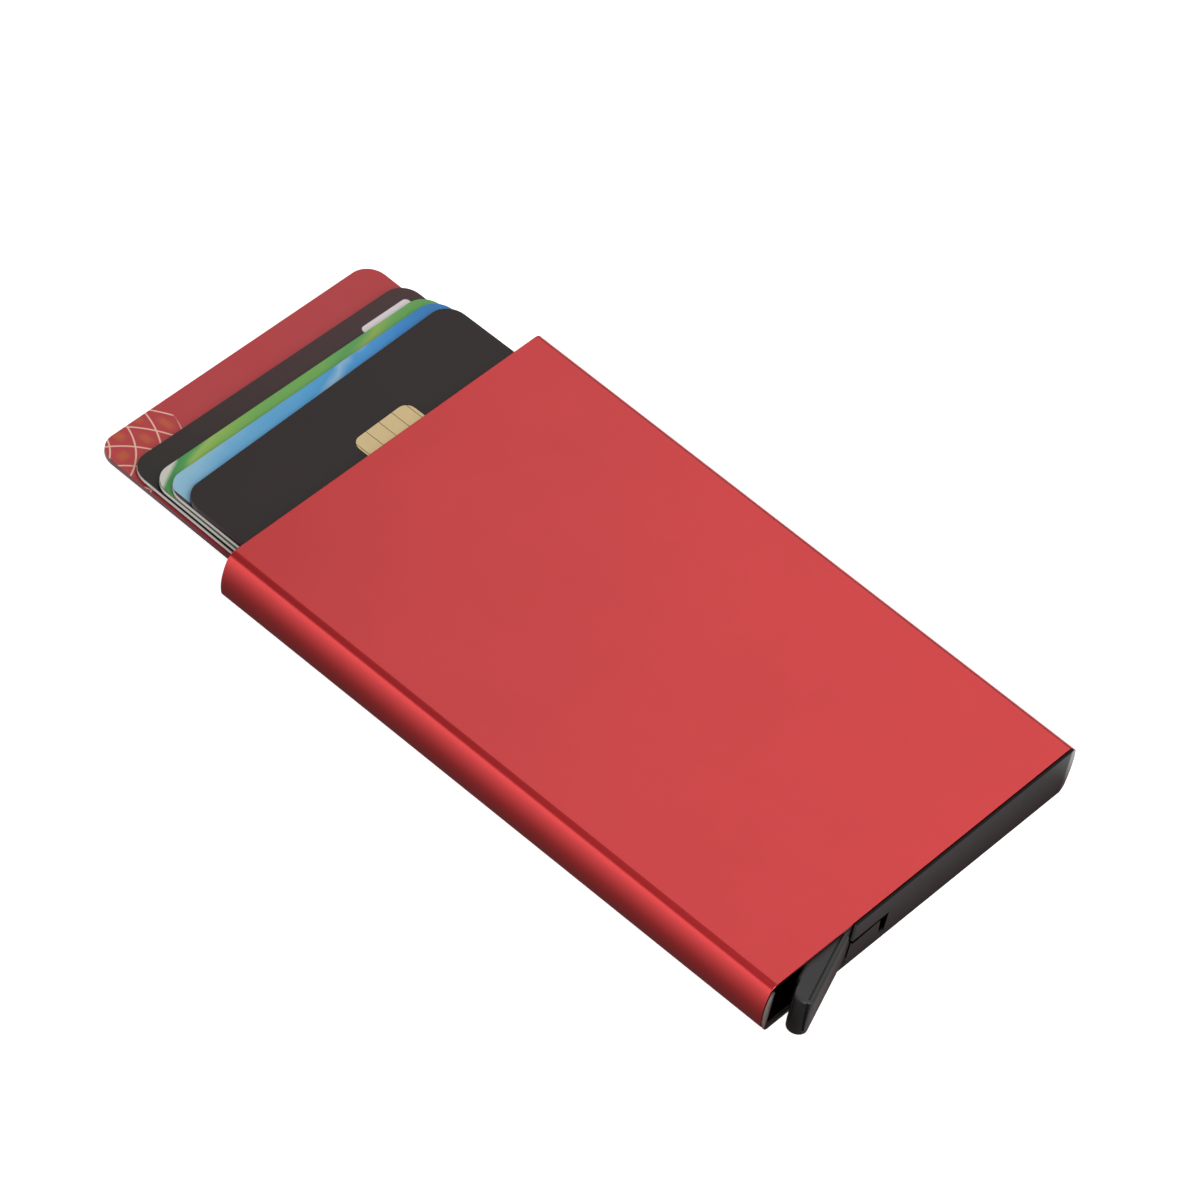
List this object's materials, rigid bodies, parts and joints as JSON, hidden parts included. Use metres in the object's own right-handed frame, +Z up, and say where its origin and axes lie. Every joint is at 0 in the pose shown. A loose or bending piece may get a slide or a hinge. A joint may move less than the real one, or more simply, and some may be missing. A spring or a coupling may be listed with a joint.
{
  "type": "metal card holder",
  "caption": "Slim extruded aluminium card holder with a hinged stepped ejector lever that fans out the bank cards it holds.",
  "frame": {"origin": "centre of the sleeve's flat underside, where the holder lies on a table", "axes": "+X along the sleeve from the card mouth towards the end cap and lever; -Y is the side of the lever's thumb end; +Z up through the thin dimension, out of the flat top"},
  "size_m": [0.1285, 0.0634, 0.0084],
  "materials": {
    "red_anodised": "satin anodised, red",
    "cap_plastic": "fine matte moulding",
    "lever_plastic": "fine matte moulding",
    "pin_steel": "ground",
    "guide_plastic": "matte moulding",
    "felt": "pressed felt",
    "spring_steel": "rolled strip",
    "gold_contact": "gold-plated contact plate",
    "card_red": "laminated PVC",
    "card_charcoal": "laminated PVC",
    "card_green": "laminated PVC",
    "card_blue": "laminated PVC",
    "card_black": "laminated PVC"
  },
  "bodies": {
    "shell": {"sleeve": "red_anodised", "end_cap": "cap_plastic", "pivot_pin": "pin_steel", "guide_rail_near": "guide_plastic", "guide_rail_far": "guide_plastic", "friction_strip_near": "felt", "friction_strip_far": "felt", "pressure_spring": "spring_steel"},
    "lever": {"ejector_lever": "lever_plastic"},
    "card_red_body": {"card_red": "card_red"},
    "card_charcoal_body": {"card_charcoal": "card_charcoal"},
    "card_green_body": {"card_green": "card_green"},
    "card_blue_body": {"card_blue": "card_blue"},
    "card_black_body": {"card_black": "card_black", "chip_module": "gold_contact"}
  },
  "joints": [
    {"name": "lever_hinge", "type": "hinge", "parent": "shell", "child": "lever", "pos_m": [0.04565, -0.01556, 0.0042], "axis": [0, 0, 1], "range_deg": [-19.5, 24.5]},
    {"name": "card_red_slide", "type": "slide", "parent": "shell", "child": "card_red_body", "axis": [-1, 0, 0], "range_m": [-0.0142, 0.045]},
    {"name": "card_charcoal_slide", "type": "slide", "parent": "shell", "child": "card_charcoal_body", "axis": [-1, 0, 0], "range_m": [-0.0111, 0.045]},
    {"name": "card_green_slide", "type": "slide", "parent": "shell", "child": "card_green_body", "axis": [-1, 0, 0], "range_m": [-0.0091, 0.045]},
    {"name": "card_blue_slide", "type": "slide", "parent": "shell", "child": "card_blue_body", "axis": [-1, 0, 0], "range_m": [-0.008, 0.045]},
    {"name": "card_black_slide", "type": "slide", "parent": "shell", "child": "card_black_body", "axis": [-1, 0, 0], "range_m": [-0.0066, 0.045]}
  ]
}
